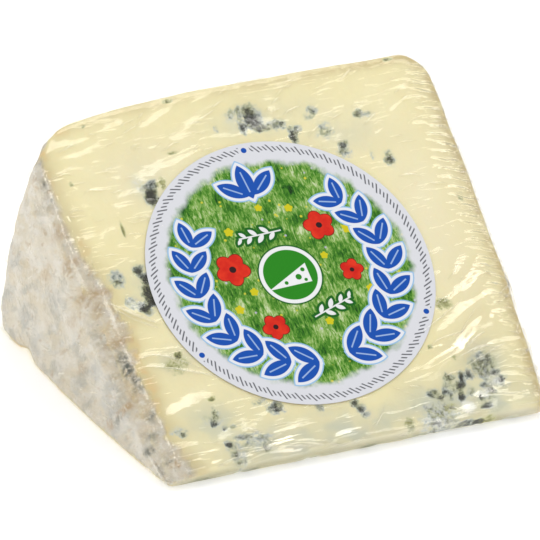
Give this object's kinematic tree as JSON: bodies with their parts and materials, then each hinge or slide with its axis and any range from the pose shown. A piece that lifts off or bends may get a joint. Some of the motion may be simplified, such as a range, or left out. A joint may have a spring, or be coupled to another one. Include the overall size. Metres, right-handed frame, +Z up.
{
  "type": "blue cheese wedge",
  "caption": "Wedge cut from a round wheel of blue-veined cheese, tightly wrapped in clear film with a round label on its upper cut face, lying on its other cut face.",
  "frame": {"origin": "on the base, under the middle of the wedge's bounding box", "axes": "+X along the axis of the wheel it was cut from, from the bloomed end to the other end; +Y from the thin cut edge to the rim; +Z up, off the lower cut face that it rests on"},
  "size_m": [0.0986, 0.0908, 0.0551],
  "materials": {
    "cheese": "pale cream paste with blue-green mould, and a greyish beige lumpy rind on the outside of the wheel",
    "film": "clear thin cling film, glossy, with fine wrinkles",
    "label": "printed sticker with a white rim, a green meadow ground and blue bands, smooth and slightly glossy"
  },
  "bodies": {
    "root": {"wrapped_cheese": "cheese", "label": "label"}
  },
  "joints": []
}
